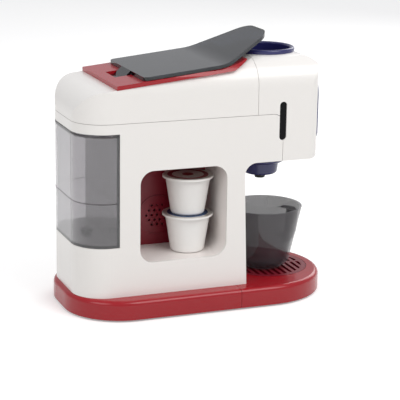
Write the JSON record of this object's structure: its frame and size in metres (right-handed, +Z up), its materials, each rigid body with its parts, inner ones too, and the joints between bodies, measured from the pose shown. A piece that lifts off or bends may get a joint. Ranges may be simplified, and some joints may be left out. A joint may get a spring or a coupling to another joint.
{
  "type": "toy coffee maker",
  "caption": "Ivory and red toy coffee maker with arched head, lift lever, storage recess, smoked rear tank, nozzle over a drip base, cup and capsules.",
  "frame": {"origin": "on the floor under the middle of the base", "axes": "+Z up, the machine's front and nozzle towards -Y, the storage recess on the -X side"},
  "size_m": [0.126, 0.24, 0.2346],
  "materials": {
    "ivory_shell": "smooth moulded ABS, warm ivory",
    "red_shell": "glossy moulded ABS, red",
    "navy_plastic": "glossy navy ABS",
    "smoke_clear": "smoked translucent plastic",
    "slot_black": "black plastic",
    "dial_grey": "satin navy plastic with pale ring",
    "key_white": "white plastic keys",
    "light_lens": "clear lens",
    "capsule_white": "white moulded plastic",
    "foil_print": "foil lid",
    "hidden_black": "black moulded plastic",
    "rubber": "black rubber",
    "steel": "plated steel",
    "speaker_black": "paper cone and steel frame",
    "board_green": "fibreglass circuit board",
    "cell_wrap": "wrapped battery cells",
    "tube_clear": "silicone tube",
    "pump_grey": "grey plastic pump head"
  },
  "bodies": {
    "machine": {"base_shell": "red_shell", "front_lobe": "red_shell", "bottom_cover": "hidden_black", "cover_screws": "steel", "rubber_feet": "rubber", "switch_housing": "hidden_black", "battery_box": "hidden_black", "battery_cells": "cell_wrap", "battery_contacts": "steel", "lower_body": "ivory_shell", "top_cover": "ivory_shell", "front_shell": "ivory_shell", "storage_liner": "ivory_shell", "speaker_panel": "red_shell", "speaker": "speaker_black", "circuit_board": "board_green", "top_trim": "red_shell", "lever_pin": "steel", "brew_chamber": "navy_plastic", "nozzle": "navy_plastic", "spout": "slot_black", "control_panel": "navy_plastic", "dial_ring": "dial_grey", "status_light": "light_lens", "key_board": "board_green", "slot_windows": "slot_black", "pump_motor": "steel", "pump_head": "pump_grey", "tank_dock": "rubber", "suction_tube": "tube_clear", "delivery_tube": "tube_clear"},
    "lever_arm": {"lever": "smoke_clear"},
    "tank": {"water_tank": "smoke_clear", "tank_valve": "rubber"},
    "grille": {"drip_grille": "red_shell"},
    "cup_body": {"cup": "smoke_clear"},
    "capsule_one": {"capsule_1": "capsule_white", "capsule_foil_1": "foil_print"},
    "capsule_two": {"capsule_2": "capsule_white", "capsule_foil_2": "foil_print"},
    "capsule_three": {"capsule_3": "capsule_white", "capsule_foil_3": "foil_print"},
    "large_key": {"large_cup_key": "key_white"},
    "small_key": {"small_cup_key": "key_white"},
    "switch": {"power_switch": "hidden_black"},
    "door": {"battery_door": "hidden_black", "door_screw": "steel"}
  },
  "joints": [
    {"name": "lever_hinge", "type": "hinge", "parent": "machine", "child": "lever_arm", "pos_m": [0, 0.068, 0.19406], "axis": [-1, 0, 0], "range_deg": [0, 38]},
    {"name": "tank_slide", "type": "slide", "parent": "machine", "child": "tank", "axis": [0, 1, 0], "range_m": [0, 0.045]},
    {"name": "grille_lift", "type": "slide", "parent": "machine", "child": "grille", "axis": [0, 0, 1], "range_m": [0, 0.02]},
    {"name": "cup_slide", "type": "slide", "parent": "grille", "child": "cup_body", "axis": [0, -1, 0], "range_m": [0, 0.11]},
    {"name": "capsule_one_lift", "type": "slide", "parent": "machine", "child": "capsule_one", "axis": [0, 0, 1], "range_m": [0, 0.028]},
    {"name": "capsule_two_slide", "type": "slide", "parent": "machine", "child": "capsule_two", "axis": [-1, 0, 0], "range_m": [0, 0.06]},
    {"name": "capsule_three_slide", "type": "slide", "parent": "machine", "child": "capsule_three", "axis": [-1, 0, 0], "range_m": [0, 0.06]},
    {"name": "large_key_press", "type": "slide", "parent": "machine", "child": "large_key", "axis": [0, 1, 0], "range_m": [0, 0.001], "stiffness_N_per_m": 400, "springref_m": -0.0005},
    {"name": "small_key_press", "type": "slide", "parent": "machine", "child": "small_key", "axis": [0, 1, 0], "range_m": [0, 0.001], "stiffness_N_per_m": 400, "springref_m": -0.0005},
    {"name": "switch_slide", "type": "slide", "parent": "machine", "child": "switch", "axis": [1, 0, 0], "range_m": [0, 0.004]},
    {"name": "battery_door_lift", "type": "slide", "parent": "machine", "child": "door", "axis": [0, 0, -1], "range_m": [0, 0.02]}
  ]
}
